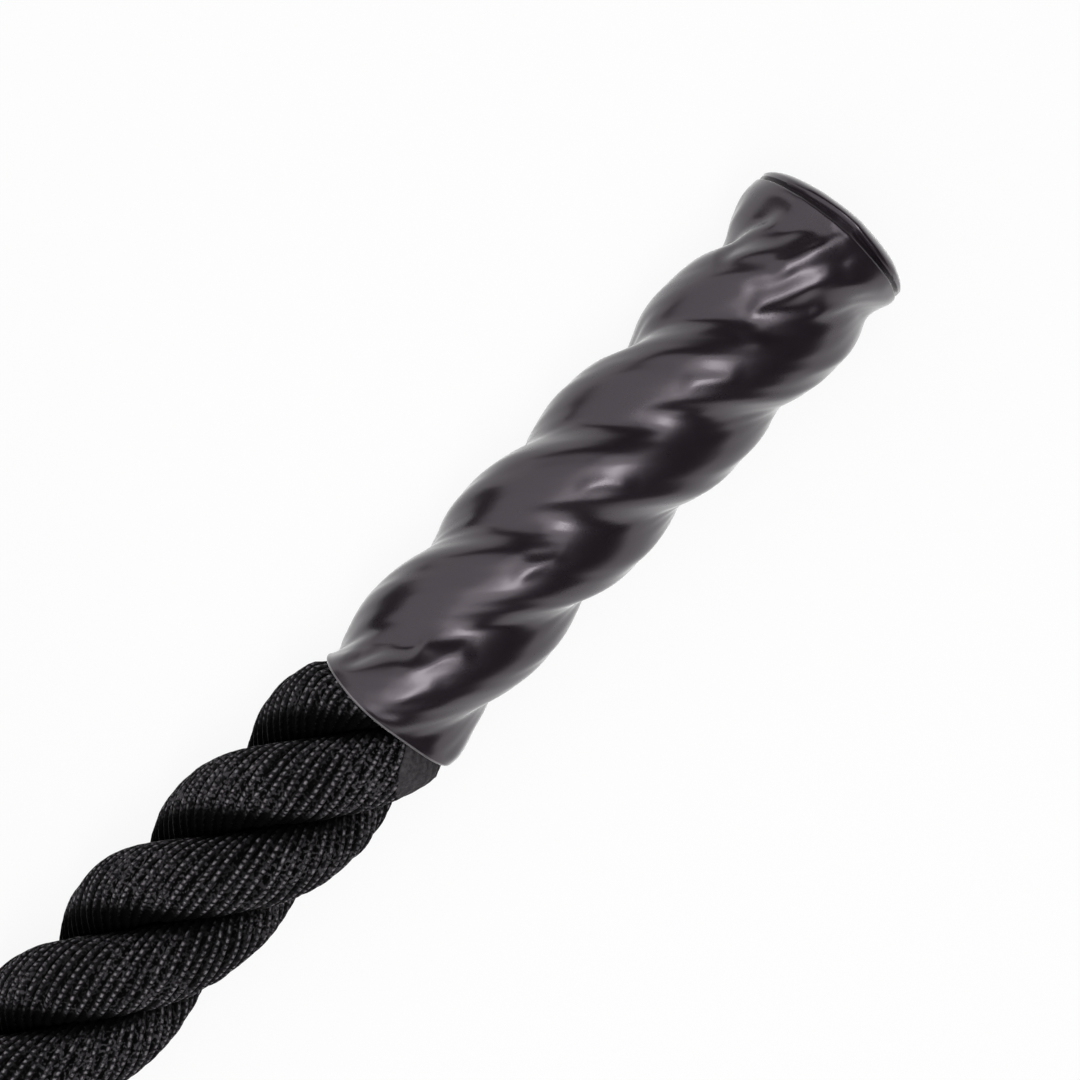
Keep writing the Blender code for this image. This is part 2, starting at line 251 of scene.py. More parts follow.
grainShape = {
    "fine": (1.0, 3.0, 0.6),                # noises: scale, detail and roughness
    "broad": (0.07, 2.0, 0.5),
    "changes": (2.0, 0.5),                  # how much they change the colour and the roughness
}


def makeGrain():
    group, given, out = newGroup(
        "fineGrain", {"Color": "Color", "Roughness": "Float", "Size": "Float", "Uneven": "Float"},
        {"Color": "Color", "Roughness": "Float", "Height": "Float"})
    place = addNode(group, "ShaderNodeTexCoord").outputs["Object"]
    sized = addNode(group, "ShaderNodeVectorMath", operation="DIVIDE")
    group.links.new(place, sized.inputs[0])
    group.links.new(given["Size"], sized.inputs[1])
    fine = noise(group, sized.outputs[0], *grainShape["fine"])
    broad = noise(group, sized.outputs[0], *grainShape["broad"])
    brightens, roughens = grainShape["changes"]
    mean = calc(group, "MULTIPLY", calc(group, "ADD", fine, broad), 0.5)
    centred = calc(group, "SUBTRACT", mean, 0.5)
    change = calc(group, "MULTIPLY", centred, given["Uneven"])
    brighter = addNode(group, "ShaderNodeHueSaturation")
    group.links.new(given["Color"], brighter.inputs["Color"])
    value = calc(group, "ADD", calc(group, "MULTIPLY", change, brightens), 1.0)
    group.links.new(value, brighter.inputs["Value"])
    group.links.new(brighter.outputs[0], out["Color"])
    rougher = calc(group, "ADD", given["Roughness"], calc(group, "MULTIPLY", change, roughens))
    group.links.new(rougher, out["Roughness"])
    group.links.new(fine, out["Height"])
    return group


fineGrain = makeGrain()


# Rope

ropeSizes = {
    "radius": 0.019,
    "pitch": 0.0885,                        # a strand goes once round the rope in this length
    "phase": math.radians(55.0),            # turn of the first strand at the sleeve's mouth
    "strands": 3,
    "lobeCentre": 0.53,                     # a strand's round back, in shares of the radius
    "lobeWidth": 0.574,
    "strandGap": 0.0004,
    "ribs": 24,                             # ribs of yarn round one strand
    "ribColumns": 6,                        # columns of the fine skin across one rib
    "ribWidth": 0.66,                       # as a share of the room it has; the rest is gap
    "ribHeight": 0.00095,
    "ribUneven": 0.30,                      # how much a rib's height varies along it
    "unevenRange": (-1.5, 0.3),
    "unevenReach": 2.6,                     # in steps of the fine skin
    "ribWander": 0.10,
    "ribTurn": 0.0400,                      # the ribs go once round their strand in this length of rope
    "insideMouth": 0.012,                   # how far the rope's own skin reaches into a sleeve
    "fineLength": 0.150,                    # ribs are modelled from the mouth to here
    "fineStep": 0.0014,
    "coilStep": 0.0044,
    "coilColumns": 8,                       # columns on each strand's back from there on
    "squeeze": 0.905,                       # the rope's radius inside the sleeve, as a share
    "squeezeLength": 0.004,
    # painted shade: where the yarn's colour darkens towards a groove, as a share of the way round the
    # strand from its crest
    "paintedShadeBefore": (0.255, 0.305),
    "paintedShadeAfter": (0.165, 0.235),
    # thin film at the mouth: a corner of its edge and its slope, how soon it is full, how low and
    # over what height it starts, and how much it fills the gaps between the ribs
    "filmEdge": (0.0035, -0.0100, 0.70),
    "filmFade": 0.0012,
    "filmBottom": (-0.004, 0.003),
    "filmFlattens": 0.75,
    # in the map for baked textures: the three strands (bottom, spacing, height), and the rest
    # (left, bottom, width, height, strips)
    "strandTiles": (0.58, 0.14, 0.135),
    "coilTile": (0.0, 0.0, 1.0, 0.575, 7),
}

# the shown end isn't quite straight: places along the handle from its mouth, and shifts to +Y
endSway = {
    "places": (
        (-0.100, 0.0), (-0.064, 0.0009), (-0.048, 0.0002), (-0.038, -0.0002), (-0.026, -0.0006),
        (-0.012, -0.0005), (-0.002, -0.0011), (0.004, -0.0013), (0.011, -0.0004), (0.026, -0.0002),
        (0.050, 0.0005), (0.062, 0.0002), (0.080, 0.0001), (0.100, -0.0002), (0.112, -0.0004),
        (0.120, -0.0002), (0.128, 0.0010), (0.136, 0.0010),
    ),
    "past": 0.02,
    "samples": 400,
    "smoothing": 5.0,                       # in samples
    "reach": 24,
}


def swayAt(along):
    places, shifts = np.array(endSway["places"]).T
    past, reach = endSway["past"], endSway["reach"]
    fine = np.linspace(places[0] - past, places[-1] + past, endSway["samples"])
    raw = np.interp(fine, places, shifts)
    weights = np.exp(-0.5 * (np.arange(-reach, reach + 1) / endSway["smoothing"]) ** 2)
    smooth = np.convolve(np.pad(raw, reach, mode="edge"), weights / weights.sum(), mode="valid")
    return np.interp(along, fine, smooth)


coilSizes = {
    "middle": (-0.30475, 0.1286),
    "outerRadius": 0.2632,
    "layerTurns": 3,
    "climbTurns": 0.5,                      # the coil turns back and climbs in this part of a turn
    "spacing": 0.040,
    "floorHeight": 0.0172,                  # the lowest turns press down on the floor
    "secondHeight": 0.0552,
    "dropTurns": 0.125,
    "pointsPerTurn": 48,
}

routeSizes = {
    "mouthA": view["mouth"],
    "mouthB": (-0.10675, 0.1536, 0.0952),
    "diameter": 0.038,
    "leadSpacing": 0.042,
    "laidB": 0.0403,                        # straight rope in front of the handle on the coil
    "onTop": (                              # from the coil's middle: x, y, z
        (0.0980, 0.2530, 0.0625),
        (0.1415, 0.2275, 0.0765),
        (0.1750, 0.1880, 0.0880),
        (0.1930, 0.1430, 0.0938),
    ),
}


def coilPoint(turns):
    c = coilSizes
    angle = -math.pi / 2 - math.tau * turns
    inner = c["outerRadius"] - c["layerTurns"] * c["spacing"]
    climb = turns - c["layerTurns"]
    if climb <= 0.0:
        radius = c["outerRadius"] - c["spacing"] * turns
    elif climb < c["climbTurns"]:
        radius = inner - c["spacing"] * climb * (1.0 - climb / c["climbTurns"])
    else:
        radius = inner + c["spacing"] * (climb - c["climbTurns"])
    rise = float(smoothStep(climb / c["climbTurns"]))
    height = c["floorHeight"] + (c["secondHeight"] - c["floorHeight"]) * rise
    height += (ropeSizes["radius"] - c["floorHeight"]) * float(smoothStep(1.0 - turns / c["dropTurns"]))
    x, y = c["middle"]
    return Vector((x + radius * math.cos(angle), y + radius * math.sin(angle), height))


def ropeCorners():
    r = routeSizes
    mouthA, mouthB = Vector(r["mouthA"]), Vector(r["mouthB"])
    right, back = Vector((1.0, 0.0, 0.0)), Vector((0.0, 1.0, 0.0))
    total = round((2 * coilSizes["layerTurns"] + coilSizes["climbTurns"]) * coilSizes["pointsPerTurn"])
    coil = [coilPoint(index / coilSizes["pointsPerTurn"]) for index in range(total + 1)]
    corners = [mouthA + right * ropeSizes["insideMouth"]]
    leadCount = round((mouthA.x - coil[0].x) / r["leadSpacing"])
    corners += [mouthA.lerp(coil[0], index / leadCount) for index in range(leadCount)]
    corners += coil
    corners += [coil[-1] + right * r["diameter"] * share for share in (0.75, 1.5)]
    corners += [Vector((*coilSizes["middle"], 0.0)) + Vector(point) for point in r["onTop"]]
    corners += [mouthB + back * (r["laidB"] + r["diameter"]), mouthB + back * r["laidB"], mouthB,
                mouthB - back * ropeSizes["insideMouth"]]
    return corners


def smoothLine(corners, perSpan=16):
    # a smooth curve through the corners, as points 1 or 2 mm apart
    ends = [2 * corners[0] - corners[1], *corners, 2 * corners[-1] - corners[-2]]
    ends = np.array([tuple(point) for point in ends])
    before, start, end, after = ends[:-3], ends[1:-2], ends[2:-1], ends[3:]
    t = (np.arange(perSpan) / perSpan)[None, :, None]
    before, start, end, after = (part[:, None] for part in (before, start, end, after))
    line = 0.5 * (2 * start + (end - before) * t + (2 * before - 5 * start + 4 * end - after) * t ** 2
                  + (3 * start - before - 3 * end + after) * t ** 3)
    return np.concatenate([line.reshape(-1, 3), ends[-2:-1]])


def followLine(line, reached, along):
    # places on the line, with the two directions square to it
    slopes = np.gradient(line, axis=0) / np.gradient(reached)[:, None]
    place = np.stack([np.interp(along, reached, line[:, axis]) for axis in range(3)], axis=1)
    ahead = np.stack([np.interp(along, reached, slopes[:, axis]) for axis in range(3)], axis=1)
    ahead /= np.linalg.norm(ahead, axis=1)[:, None]
    above = np.array([0.0, 0.0, 1.0]) - ahead * ahead[:, 2:]
    above /= np.linalg.norm(above, axis=1)[:, None]
    across = np.cross(ahead, above)
    place = place + across * swayAt(-along)[:, None]
    return place, across, above


def lobeRadius(angle):
    # the rope's radius over a strand, which is round in section; angle from the strand's crest
    r = ropeSizes
    centre = r["radius"] * r["lobeCentre"]
    depth = r["radius"] * (1 - r["lobeCentre"])
    width = r["radius"] * r["lobeWidth"]
    cosine, sine = np.cos(angle) / depth, np.sin(angle) / width
    offset = centre / depth
    a = cosine * cosine + sine * sine
    b = cosine * offset
    return (b + np.sqrt(b * b - a * (offset * offset - 1))) / a


def strandOutline(backPoints=60, flatPoints=24):
    # once round a strand from its crest, as complex numbers, with the way out at each point
    sector = math.pi / ropeSizes["strands"]
    side = ropeSizes["strandGap"] / 2
    corner = sector - math.asin(side / lobeRadius(sector))
    angles = np.linspace(0.0, corner, backPoints)
    backHalf = lobeRadius(angles) * np.exp(1j * angles)
    middle = side / math.sin(sector)
    flat = backHalf[-1] + (middle - backHalf[-1]) * np.linspace(0.0, 1.0, flatPoints)[1:]
    half = np.concatenate([backHalf, flat])
    whole = np.concatenate([half, half[::-1][1:].conj()])
    reached = np.concatenate([[0.0], np.cumsum(np.abs(np.diff(whole)))])
    closed = np.concatenate([whole[-3:-1], whole, whole[1:3]])
    tangent = closed[4:] - closed[:-4]
    out = -1j * tangent / np.abs(tangent)
    return {"share": reached / reached[-1], "point": whole, "out": out,
            "backAngle": angles, "backShare": reached[:backPoints] / reached[-1]}


def onOutline(outline, share, key):
    share = share % 1.0
    places, values = outline["share"], outline[key]
    return np.interp(share, places, values.real) + 1j * np.interp(share, places, values.imag)


def strandTurn(along, number, mouthToMouth, closing):
    # turn of a strand round the rope; closing brings the lay into step with the far sleeve
    r = ropeSizes
    spread = np.clip(along / mouthToMouth, 0.0, 1.0)
    return (r["phase"] - math.tau * along / r["pitch"] + closing * spread
            + math.tau * number / r["strands"])


def mouthSqueeze(along, mouthToMouth):
    r = ropeSizes
    near = np.minimum(along, mouthToMouth - along)
    return 1.0 + (r["squeeze"] - 1.0) * smoothStep(1.0 - near / r["squeezeLength"])


def paintedGrooveShade(share):
    # painted shade: 0 on a strand's back and 1 in the grooves beside it
    before, after = ropeSizes["paintedShadeBefore"], ropeSizes["paintedShadeAfter"]
    share = (share + 0.5) % 1.0 - 0.5
    onOneSide = smoothStep((-share - before[0]) / (before[1] - before[0]))
    return onOneSide + smoothStep((share - after[0]) / (after[1] - after[0]))


def filmShare(along, side, height):
    # 1 where a thin film that ran out of the sleeve covers the yarn beside the mouth
    start, corner, slope = ropeSizes["filmEdge"]
    low, rise = ropeSizes["filmBottom"]
    inside = corner - slope * (along - start) - side
    return smoothStep(inside / ropeSizes["filmFade"]) * smoothStep((height - low) / rise)


def ribProfile(share):
    # height of a rib of round yarn across its width, 0 in the gaps and 1 on top
    across = (2.0 * (share % 1.0) - 1.0) / ropeSizes["ribWidth"]
    return np.clip(1.0 - across * across, 0.0, 1.0) ** 0.75


def ringsOn(place, across, above, section):
    # section: rows x columns of complex numbers, real along across and imaginary along above
    rings = (place[:, None] + section.real[..., None] * across[:, None]
             + section.imag[..., None] * above[:, None])
    rings[..., 2] = np.maximum(rings[..., 2], 0.0)    # the rope lies flat where it presses on the floor
    return rings


def ribWaves(rows):
    # smooth random waves along each rib: for its height, and for where it lies
    r = ropeSizes
    random = np.random.default_rng(31)
    waves = np.fft.rfft(random.standard_normal((2, rows, r["ribs"])), axis=1)
    turns = np.arange(waves.shape[1]) * math.tau / rows
    waves *= np.exp(-0.5 * (turns * r["unevenReach"]) ** 2)[None, :, None]
    return np.repeat(np.fft.irfft(waves, rows, axis=1), r["ribColumns"], axis=2) * 2.0


def makeRope(material):
    r = ropeSizes
    line = smoothLine(ropeCorners())
    reached = np.concatenate([[0.0], np.cumsum(np.linalg.norm(np.diff(line, axis=0), axis=1))])
    reached -= r["insideMouth"]    # counted from the shown sleeve's mouth
    mouthToMouth = reached[-1] - r["insideMouth"]
    free = r["phase"] - math.tau * mouthToMouth / r["pitch"]
    third = math.tau / r["strands"]
    closing = (math.pi - r["phase"] - free + third / 2) % third - third / 2
    outline = strandOutline()
    print("rope", round(mouthToMouth, 3), "m between the mouths, closing turn",
          round(math.degrees(closing), 1))
    skin = newSkin()

    # near the mouth each strand is a closed skin whose columns follow the ribs
    rows = round((r["fineLength"] + r["insideMouth"]) / r["fineStep"]) + 1
    along = np.linspace(-r["insideMouth"], r["fineLength"], rows)
    place, across, above = followLine(line, reached, along)
    columns = r["ribs"] * r["ribColumns"]
    column = np.arange(columns + 1) / columns
    share = column[None, :-1] + along[:, None] / r["ribTurn"]
    uneven, wander = ribWaves(rows)
    share = share + wander * r["ribWander"] / r["ribs"]
    uneven = np.clip(uneven, *r["unevenRange"])
    height = ribProfile(column[:-1] * r["ribs"]) * (1.0 + r["ribUneven"] * uneven) - 1.0
    height = np.minimum(r["ribHeight"] * height, 0.0)
    shade = paintedGrooveShade(np.concatenate([share, share[:, :1] + 1.0], axis=1))
    squeezed = mouthSqueeze(along, mouthToMouth)[:, None]
    smooth = onOutline(outline, share, "point")
    section = (smooth + onOutline(outline, share, "out") * height) * squeezed
    smooth = smooth * squeezed
    ribU = np.broadcast_to(column * r["ribs"], (rows, columns + 1))
    bottom, spacing, tall = r["strandTiles"]
    for number in range(r["strands"]):
        turn = np.exp(1j * strandTurn(along, number, mouthToMouth, closing))[:, None]
        film = filmShare(along[:, None], (smooth * turn).real, (smooth * turn).imag)
        turned = (section + (smooth - section) * r["filmFlattens"] * film) * turn
        rings = ringsOn(place, across, above, turned)
        film = np.concatenate([film, film[:, :1]], axis=1)
        maps = {"yarn": (ribU + number * r["ribs"], along[:, None]), "shade": (shade, film)}
        addTube(skin, rings, maps, (0.0, bottom + spacing * number, 1.0, tall, 1))

    # from there on one skin with three backs, its ribs left to the shader
    rows = round((reached[-1] - r["fineLength"]) / r["coilStep"]) + 1
    along = np.linspace(r["fineLength"], reached[-1], rows)
    place, across, above = followLine(line, reached, along)
    sector = math.pi / r["strands"]
    angles = np.linspace(-sector, sector, r["coilColumns"] + 1)
    radius = lobeRadius(angles) - r["ribHeight"] / 2
    backs = np.concatenate([radius[:-1] * np.exp(1j * (angles[:-1] + 2 * sector * number))
                            for number in range(r["strands"])])
    section = backs[None, :] * mouthSqueeze(along, mouthToMouth)[:, None]
    turned = section * np.exp(1j * strandTurn(along, 0, mouthToMouth, closing))[:, None]
    rings = ringsOn(place, across, above, turned)
    backShare = np.interp(np.abs(angles), outline["backAngle"], outline["backShare"]) * np.sign(angles)
    ribU = [backShare[:-1] + number for number in range(r["strands"])] + [[backShare[-1] + 2]]
    ribU = r["ribs"] * (np.concatenate(ribU)[None, :] - along[:, None] / r["ribTurn"])
    shade = paintedGrooveShade(np.concatenate([backShare[:-1]] * r["strands"] + [backShare[:1]]))[None, :]
    addTube(skin, rings, {"yarn": (ribU, along[:, None]), "shade": (shade, 0.0)}, r["coilTile"])
    rope = skinObject("rope", skin, material, math.radians(70.0))
    return rope, line, mouthToMouth


ropeLook = {
    # painted shade: the near-black gap colour darkens the yarn between its ribs
    "gap": (0.0003, 0.0003, 0.0004, 1.0),
    "yarn": (0.0060, 0.0054, 0.0062, 1.0),
    # painted glint: this light colour on the yarn's beads stands in for their gloss
    "paintedGlint": (0.2000, 0.1870, 0.2030, 1.0),
    # the film's light grey is in part painted sheen
    "film": (0.0640, 0.0590, 0.0630, 1.0),
    "gloss": 0.06,
    "roughness": (0.55, 0.85),              # on a rib, and in the gaps
    "plyLength": 0.00128,                   # one ply crosses its rib in this length
    "plySlant": 0.35,
    "plyDrift": 1.6,                        # how far the beads slip along their rib, in plies
    "ribDrift": 0.28,                       # and across it
    "plyShift": 0.37,                       # from one rib to the next, in plies
    "beadWidth": (0.47, 0.10),              # across a rib: where the beads start and where they are full
    "paintedShadeStrength": 0.985,                     # how much the painted shade darkens the yarn's colour in the grooves
    "patchRoughness": 0.25,
    "filmRagged": 0.9,
    "filmLimit": 4.0,                       # keeps its ragged edge off the bare yarn
    "filmSmooths": 0.70,
    "relief": (0.30, 0.55, 0.45),           # of a rib's round top, of its beads and of loose fibre
    "bumpHeight": 0.0005,
    # noises: scale, detail and roughness
    "noises": {"patch": (1100.0, 2.0, 0.6), "drift": (240.0, 1.0, 0.5),
               "loose": (1250.0, 1.0, 0.5), "region": (60.0, 1.0, 0.5)},
    # ranges: from and to, and what these two become
    "ranges": {"ply": (0.30, 0.95, 0.0, 1.0), "patch": (0.36, 0.62, 0.18, 1.0),
               "loose": (0.47, 0.66, 0.0, 0.24), "region": (0.40, 0.58, 0.25, 1.0),
               "top": (0.10, 0.80, 0.0, 1.0), "cloud": (0.30, 0.70, 0.0, 0.45),
               "ragged": (0.35, 0.65, 0.0, 1.0)},
}


def makeRopeMaterial():
    look, ranges = ropeLook, ropeLook["ranges"]
    material, tree, shader = newMaterial("blackYarn", look["roughness"][0])
    shader.inputs["Specular IOR Level"].default_value = look["gloss"]
    ribs, along = mapParts(tree, "yarn")
    shade, film = mapParts(tree, "shade")
    placed = addNode(tree, "ShaderNodeTexCoord").outputs["Object"]
    patch, drift, loose, region = (noise(tree, placed, *look["noises"][name])
                                   for name in ("patch", "drift", "loose", "region"))

    # place across the rib, and along it in plies
    wander = calc(tree, "MULTIPLY", calc(tree, "SUBTRACT", drift, 0.5), look["ribDrift"])
    across = calc(tree, "SUBTRACT", calc(tree, "MULTIPLY", calc(tree, "FRACT", ribs), 2.0), 1.0)
    across = calc(tree, "ADD", across, wander)
    wide = calc(tree, "DIVIDE", across, ropeSizes["ribWidth"])
    wide = calc(tree, "SUBTRACT", 1.0, calc(tree, "MULTIPLY", wide, wide))
    top = calc(tree, "SQRT", calc(tree, "MAXIMUM", wide, 0.0))
    chain = remap(tree, calc(tree, "ABSOLUTE", across), *look["beadWidth"], 0.0, 1.0)
    slanted = calc(tree, "MULTIPLY", across, look["plySlant"])
    shifted = calc(tree, "MULTIPLY", calc(tree, "FLOOR", ribs), look["plyShift"])
    turns = calc(tree, "DIVIDE", along, look["plyLength"])
    turns = calc(tree, "ADD", turns, calc(tree, "ADD", slanted, shifted))
    turns = calc(tree, "ADD", turns, calc(tree, "MULTIPLY", drift, look["plyDrift"]))
    wave = calc(tree, "ABSOLUTE", calc(tree, "SINE", calc(tree, "MULTIPLY", turns, math.pi)))
    ply = calc(tree, "MULTIPLY", remap(tree, wave, *ranges["ply"]), chain)

    # painted glints: the yarn's colour is lightened on its beads along the ribs, and on loose fibre between
    # them
    paintedGlint = calc(tree, "MULTIPLY", ply, remap(tree, patch, *ranges["patch"]))
    pebble = calc(tree, "MULTIPLY", remap(tree, loose, *ranges["loose"]),
                  remap(tree, region, *ranges["region"]))
    paintedGlint = calc(tree, "MAXIMUM", paintedGlint, pebble)
    # painted shade: the colour goes to near black in the gaps between the ribs
    body = blendColors(tree, remap(tree, top, *ranges["top"]), look["gap"], look["yarn"])
    # painted shade: towards the grooves the colour goes to the gap's near black, and the painted glints
    # fade there
    deep = calc(tree, "MULTIPLY", shade, look["paintedShadeStrength"])
    paintedGlint = calc(tree, "MULTIPLY", paintedGlint, calc(tree, "SUBTRACT", 1.0, deep))
    shaded = blendColors(tree, deep, blendColors(tree, paintedGlint, body, look["paintedGlint"]), look["gap"])

    # the thin film beside the mouth, with a ragged edge; its light grey is in part painted sheen
    clouded = blendColors(tree, remap(tree, patch, *ranges["cloud"]), look["film"], look["yarn"])
    edge = calc(tree, "MULTIPLY", calc(tree, "SUBTRACT", drift, 0.5), look["filmRagged"])
    ragged = remap(tree, calc(tree, "ADD", film, edge), *ranges["ragged"])
    film = calc(tree, "MINIMUM", ragged, calc(tree, "MULTIPLY", film, look["filmLimit"]))
    tree.links.new(blendColors(tree, film, shaded, clouded), shader.inputs["Base Color"])

    onRib, inGap = look["roughness"]
    rough = calc(tree, "SUBTRACT", inGap, calc(tree, "MULTIPLY", chain, inGap - onRib))
    patchy = calc(tree, "MULTIPLY", calc(tree, "SUBTRACT", patch, 0.5), look["patchRoughness"])
    tree.links.new(calc(tree, "ADD", rough, patchy), shader.inputs["Roughness"])
    ofTop, ofPly, ofLoose = look["relief"]
    relief = calc(tree, "ADD", calc(tree, "MULTIPLY", top, ofTop), calc(tree, "MULTIPLY", ply, ofPly))
    relief = calc(tree, "ADD", relief, calc(tree, "MULTIPLY", loose, ofLoose))
    bare = calc(tree, "SUBTRACT", 1.0, calc(tree, "MULTIPLY", film, look["filmSmooths"]))
    addBump(tree, shader, calc(tree, "MULTIPLY", relief, bare), 1.0, look["bumpHeight"])
    return material


ropeMaterial = makeRopeMaterial()
rope, ropeLine, ropeLength = makeRope(ropeMaterial)
print("rope done,", len(rope.data.polygons), "faces")


# Sleeves

sleeveSizes = {
    "length": 0.135,
    "wall": 0.0009,
    "crest": ((0.0, 0.060, 0.130), (0.0183, 0.0188, 0.0191)),    # places along, and radius over a strand
    "grooveDepth": 0.170,                   # as a share of the radius
    "grooveShape": 1.6,                     # higher makes the grooves narrower
    "rimRadius": 0.0192,
    "rounding": 0.0075,                     # the lobes reach this near to the rim
    "rimLean": (0.0005, 0.0005, 0.0011),    # how far the rim reaches ahead: all round, on top and at -Y
    "leanFrom": (0.110, 0.025),             # where that starts, and how soon it is full
    # crease: past the rim, and out; then where it is widest, how far round, and how much wider
    "crease": ((0.0002, 0.0), (0.0004, -0.0003), (0.0006, -0.0011), (0.0011, -0.0013), (0.0015, -0.0004)),
    "creaseWidest": (math.radians(88.0), math.radians(20.0), 0.8),
    "domeStart": 0.0013,                    # the closed end starts this far past the rim
    "domeHeight": 0.0058,
    "domeShare": 0.998,                     # the dome's width as a share of the rim's
    "domeSquare": (3.5, 0.8),               # higher makes the dome boxier: all round, and more at +Y
    "domeRings": (0.985, 0.96, 0.93, 0.90, 0.86, 0.81, 0.75, 0.67, 0.57, 0.45, 0.32, 0.18, 0.06),
    "mouthSkew": (0.0002, 0.0014),          # how far the mouth's edge reaches back at +Y and on top
    "skewLength": 0.03,
    "flare": (0.0005, 0.0070),              # the cut edge stands off the rope by this, and how soon
    "lip": 0.0004,                          # rounding of the cut edge
    "dents": (                              # along, turn from +Y, depth, length and width as a turn
        (0.0910, 0, 0.0014, 0.0034, 26),
        (0.1212, 0, 0.0013, 0.0026, 26),
        (0.0330, 0, -0.0005, 0.0040, 26),
        (0.0610, 0, -0.0005, 0.0040, 26),
        (0.0760, 180, -0.0008, 0.0040, 26),
        (0.1310, 0, -0.0005, 0.0040, 30),
        (0.1045, 180, -0.0007, 0.0040, 26),
    ),
    "columns": 300,
    "step": 0.0007,
    "insideStep": 6,                        # rings outside for each one inside
    "wrinkleHeight": 0.00006,
    "wrinkleLength": 0.0030,                # along a wrinkle, and across it as a turn
    "wrinkleTurn": math.radians(3.4),
    "wrinkleLay": 0.72,                     # how much the wrinkles follow the lay
    "wrinkleBroad": (2.0, 2.5, 1.2),        # broad ones: how much longer, wider and higher
    "rimWrinkles": (0.034, 0.020, 0.9),     # from this far off the rim, full how soon, how much higher
    "mouthWrinkles": (0.024, 0.7),          # up to this far from the mouth, and how much higher
    "plainEdge": 0.003,
    "foldWave": (0.0005, 0.0021, 900.0),    # how far folds waver, how fast, and their steps in phase
    "foldEnds": 0.004,
    "rimFlattens": 0.4,                     # how much lower the folds are at the rim
    # folds: along and turn at the start, the same at the end, half the width above and below, height
    "folds": (
        (0.1165, 33, 0.1350, 87, 0.00180, 0.00200, -0.00110),
        (0.1200, 74, 0.1375, 104, 0.00100, 0.00200, 0.00085),
        (0.1130, 70, 0.1340, 112, 0.00100, 0.00100, -0.00040),
        (0.1110, 80, 0.1300, 113, 0.00150, 0.00110, 0.00050),
        (0.1200, 113, 0.1375, 146, 0.00320, 0.00200, 0.00065),
        (0.1325, 52, 0.1350, 70, 0.00120, 0.00100, 0.00030),
        (0.1060, 84, 0.1120, 108, 0.00110, 0.00110, 0.00028),
        (0.0035, 41, 0.0185, 82, 0.00200, 0.00140, -0.00110),
        (0.0020, 80, 0.0150, 112, 0.00120, 0.00090, 0.00020),
        (0.0095, 79, 0.0240, 114, 0.00120, 0.00090, 0.00036),
        (0.0160, 80, 0.0245, 110, 0.00100, 0.00100, 0.00022),
        (0.0390, 92, 0.0510, 113, 0.00130, 0.00100, 0.00028),
        (0.0430, 88, 0.0520, 108, 0.00090, 0.00090, -0.00022),
        (0.0610, 82, 0.0720, 110, 0.00110, 0.00100, 0.00032),
        (0.0900, 86, 0.1030, 108, 0.00140, 0.00110, 0.00028),
    ),
}


def grooveTable(samples=241):
    # the sleeve's radius over a third of a turn, from one groove to the next, as a share of the crest
    s = sleeveSizes
    sector = math.pi / ropeSizes["strands"]
    angles = np.linspace(-sector, sector, samples)
    turned = (1.0 - np.cos(ropeSizes["strands"] * angles)) / 2
    return angles, 1.0 - s["grooveDepth"] * turned ** s["grooveShape"]


def wrinkleField(along, seed, turns=720):
    # smooth random height over the length and once round, longer than wide
    s = sleeveSizes
    random = np.random.default_rng(seed)
    waves = np.fft.fft2(random.standard_normal((len(along), turns)))
    step = along[1] - along[0]
    down = np.fft.fftfreq(len(along))[:, None] * math.tau / step
    around = np.fft.fftfreq(turns)[None, :] * turns
    total = 0.0
    for longer, wider, height in ((1.0, 1.0, 1.0), s["wrinkleBroad"]):
        kept = (down * longer * s["wrinkleLength"]) ** 2 + (around * wider * s["wrinkleTurn"]) ** 2
        part = np.fft.ifft2(waves * np.exp(-0.5 * kept)).real
        total = total + height * part / part.std()
    return total


def foldHeight(angles, along):
    s = sleeveSizes
    swing, pace, phaseStep = s["foldWave"]
    total = np.zeros((len(along), len(angles)))
    places = along[:, None] + 0 * angles[None, :]
    turns = (angles[None, :] + 0 * along[:, None]) % math.tau * s["rimRadius"]
    for startAlong, startTurn, endAlong, endTurn, above, below, height in s["folds"]:
        start = np.array((startAlong, math.radians(startTurn) * s["rimRadius"]))
        way = np.array((endAlong, math.radians(endTurn) * s["rimRadius"])) - start
        length = np.hypot(*way)
        way /= length
        ahead = (places - start[0]) * way[0] + (turns - start[1]) * way[1]
        aside = (turns - start[1]) * way[0] - (places - start[0]) * way[1]
        aside = aside + swing * np.sin(ahead / pace + phaseStep * startAlong)
        ends = smoothStep(ahead / s["foldEnds"]) * smoothStep((length - ahead) / s["foldEnds"])
        total += height * ends * np.exp(-0.5 * (aside / np.where(aside > 0.0, below, above)) ** 2)
    return total


